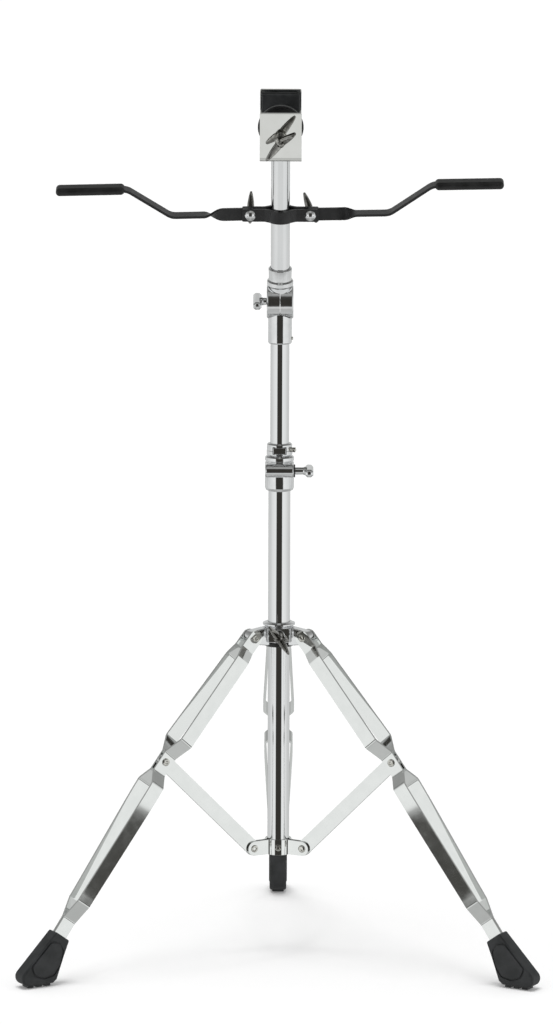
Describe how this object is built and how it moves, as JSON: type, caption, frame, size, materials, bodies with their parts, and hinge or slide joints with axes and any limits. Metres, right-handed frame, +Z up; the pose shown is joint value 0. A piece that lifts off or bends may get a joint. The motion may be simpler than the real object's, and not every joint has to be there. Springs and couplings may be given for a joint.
{
  "type": "bongo stand",
  "caption": "Folding tripod bongo stand with double-strip legs, telescoping tube, tilting head, screw clamp for the block between the drums and two swinging support arms.",
  "frame": {"origin": "on the floor, at the middle of the box that holds the stand with its legs open", "axes": "+Z up along the tube, +Y from the front of the stand to its rear leg, +X to the right of someone who stands in front of it"},
  "size_m": [0.5294, 0.4588, 0.8943],
  "materials": {
    "chrome": "polished chrome plate",
    "rivet_steel": "plated steel, dull",
    "black_steel": "satin black powder coat",
    "rubber": "matt black rubber",
    "nylon": "black nylon"
  },
  "bodies": {
    "stand_base": {"base_tube": "chrome", "tube_plug": "nylon", "base_clamp": "chrome", "base_clamp_bush": "nylon", "clamp_shoe": "rivet_steel", "clamp_washer": "nylon", "bracket_plate_front": "chrome", "bracket_plate_left": "chrome", "bracket_plate_right": "chrome", "bracket_screw": "rivet_steel", "bracket_rivet_front_left": "rivet_steel", "bracket_rivet_front_right": "rivet_steel", "bracket_rivet_rear": "rivet_steel"},
    "sliding_collar": {"leg_collar": "chrome", "leg_rivet_front_left": "rivet_steel", "leg_rivet_front_right": "rivet_steel", "leg_rivet_rear": "rivet_steel"},
    "collar_knob": {"collar_wing_screw": "chrome"},
    "front_left_leg": {"leg_strip_front_left_a": "chrome", "leg_strip_front_left_b": "chrome", "joint_rivet_front_left_a": "rivet_steel", "joint_rivet_front_left_b": "rivet_steel", "boot_front_left": "rubber"},
    "front_left_brace": {"brace_front_left": "chrome"},
    "front_right_leg": {"leg_strip_front_right_a": "chrome", "leg_strip_front_right_b": "chrome", "joint_rivet_front_right_a": "rivet_steel", "joint_rivet_front_right_b": "rivet_steel", "boot_front_right": "rubber"},
    "front_right_brace": {"brace_front_right": "chrome"},
    "rear_leg": {"leg_strip_rear_a": "chrome", "leg_strip_rear_b": "chrome", "joint_rivet_rear_a": "rivet_steel", "joint_rivet_rear_b": "rivet_steel", "boot_rear": "rubber"},
    "rear_brace": {"brace_rear": "chrome"},
    "base_knob": {"base_t_bolt": "chrome"},
    "height_tube": {"middle_tube": "chrome", "tilter_lower": "chrome", "tilter_set_screw": "rivet_steel"},
    "memory_stop": {"memory_lock": "chrome", "memory_lock_screw": "rivet_steel"},
    "tilter_knob": {"tilter_wing_bolt": "chrome"},
    "tilting_head": {"tilter_upper": "chrome", "top_tube": "chrome", "clamp_bracket": "chrome", "rear_pad": "rubber"},
    "arm_bar": {"arm_clamp_front": "black_steel", "arm_clamp_rear": "black_steel", "arm_bolt_left": "chrome", "arm_bolt_right": "chrome"},
    "left_arm": {"arm_left": "black_steel", "sleeve_left": "rubber"},
    "right_arm": {"arm_right": "black_steel", "sleeve_right": "rubber"},
    "left_nut": {"arm_wing_nut_left": "chrome"},
    "right_nut": {"arm_wing_nut_right": "chrome"},
    "jaw_plate": {"pressure_disc": "black_steel", "disc_pad": "rubber"},
    "jaw_bolt": {"bracket_wing_bolt": "chrome"}
  },
  "joints": [
    {"name": "leg_fold", "type": "slide", "parent": "stand_base", "child": "sliding_collar", "axis": [0, 0, 1], "range_m": [0, 0.0799]},
    {"name": "front_left_leg_hinge", "type": "hinge", "parent": "sliding_collar", "child": "front_left_leg", "pos_m": [-0.02702, -0.08695, 0.3343], "axis": [0.5, -0.866, 0], "range_deg": [0, 35]},
    {"name": "front_left_brace_hinge", "type": "hinge", "parent": "stand_base", "child": "front_left_brace", "pos_m": [-0.02589, -0.0863, 0.1137], "axis": [0.5, -0.866, 0], "range_deg": [-39.3, 0]},
    {"name": "front_right_leg_hinge", "type": "hinge", "parent": "sliding_collar", "child": "front_right_leg", "pos_m": [0.02702, -0.08695, 0.3343], "axis": [0.5, 0.866, 0], "range_deg": [0, 35]},
    {"name": "front_right_brace_hinge", "type": "hinge", "parent": "stand_base", "child": "front_right_brace", "pos_m": [0.02589, -0.0863, 0.1137], "axis": [0.5, 0.866, 0], "range_deg": [-39.3, 0]},
    {"name": "rear_leg_hinge", "type": "hinge", "parent": "sliding_collar", "child": "rear_leg", "pos_m": [0, -0.04015, 0.3343], "axis": [-1, 0, 0], "range_deg": [0, 35]},
    {"name": "rear_brace_hinge", "type": "hinge", "parent": "stand_base", "child": "rear_brace", "pos_m": [0, -0.04145, 0.1137], "axis": [-1, 0, 0], "range_deg": [-39.3, 0]},
    {"name": "collar_screw_turn", "type": "hinge", "parent": "sliding_collar", "child": "collar_knob", "pos_m": [0, -0.09685, 0.336], "axis": [0, -1, 0], "range_deg": [0, 360]},
    {"name": "base_bolt_turn", "type": "hinge", "parent": "stand_base", "child": "base_knob", "pos_m": [0.03, -0.08455, 0.5055], "axis": [1, 0, 0], "range_deg": [0, 360]},
    {"name": "height_slide", "type": "slide", "parent": "stand_base", "child": "height_tube", "axis": [0, 0, 1], "range_m": [0, 0.18]},
    {"name": "memory_slide", "type": "slide", "parent": "height_tube", "child": "memory_stop", "axis": [0, 0, 1], "range_m": [0, 0.08]},
    {"name": "tilter_bolt_turn", "type": "hinge", "parent": "height_tube", "child": "tilter_knob", "pos_m": [-0.02, -0.07135, 0.677], "axis": [-1, 0, 0], "range_deg": [0, 360]},
    {"name": "head_tilt", "type": "hinge", "parent": "height_tube", "child": "tilting_head", "pos_m": [0, -0.07135, 0.677], "axis": [1, 0, 0], "range_deg": [-104, 76]},
    {"name": "arm_bar_slide", "type": "slide", "parent": "tilting_head", "child": "arm_bar", "axis": [0, -0.2419, 0.9703], "range_m": [-0.045, 0.055]},
    {"name": "left_arm_swing", "type": "hinge", "parent": "arm_bar", "child": "left_arm", "pos_m": [-0.0301, -0.09421, 0.76869], "axis": [0, 0.9703, 0.2419], "range_deg": [-75, 60]},
    {"name": "right_arm_swing", "type": "hinge", "parent": "arm_bar", "child": "right_arm", "pos_m": [0.0301, -0.09421, 0.76869], "axis": [0, 0.9703, 0.2419], "range_deg": [-60, 75]},
    {"name": "left_nut_turn", "type": "hinge", "parent": "arm_bar", "child": "left_nut", "pos_m": [-0.0301, -0.08839, 0.77014], "axis": [0, 0.9703, 0.2419], "range_deg": [0, 360]},
    {"name": "right_nut_turn", "type": "hinge", "parent": "arm_bar", "child": "right_nut", "pos_m": [0.0301, -0.08839, 0.77014], "axis": [0, 0.9703, 0.2419], "range_deg": [0, 360]},
    {"name": "jaw_slide", "type": "slide", "parent": "tilting_head", "child": "jaw_plate", "axis": [0, 0.9703, 0.2419], "range_m": [-0.0218, 0.0074]},
    {"name": "jaw_screw_turn", "type": "hinge", "parent": "jaw_plate", "child": "jaw_bolt", "pos_m": [0, -0.16074, 0.8495], "axis": [0, 0.9703, 0.2419], "range_deg": [-6300, 2160]}
  ],
  "couplings": [
    {"joint": "front_left_leg_hinge", "follows": "leg_fold", "rad_per_m": 7.5798},
    {"joint": "front_left_brace_hinge", "follows": "leg_fold", "rad_per_m": -8.4143},
    {"joint": "front_right_leg_hinge", "follows": "leg_fold", "rad_per_m": 7.5798},
    {"joint": "front_right_brace_hinge", "follows": "leg_fold", "rad_per_m": -8.4143},
    {"joint": "rear_leg_hinge", "follows": "leg_fold", "rad_per_m": 7.5798},
    {"joint": "rear_brace_hinge", "follows": "leg_fold", "rad_per_m": -8.4143},
    {"joint": "jaw_screw_turn", "follows": "jaw_slide", "rad_per_m": 5026.6}
  ]
}
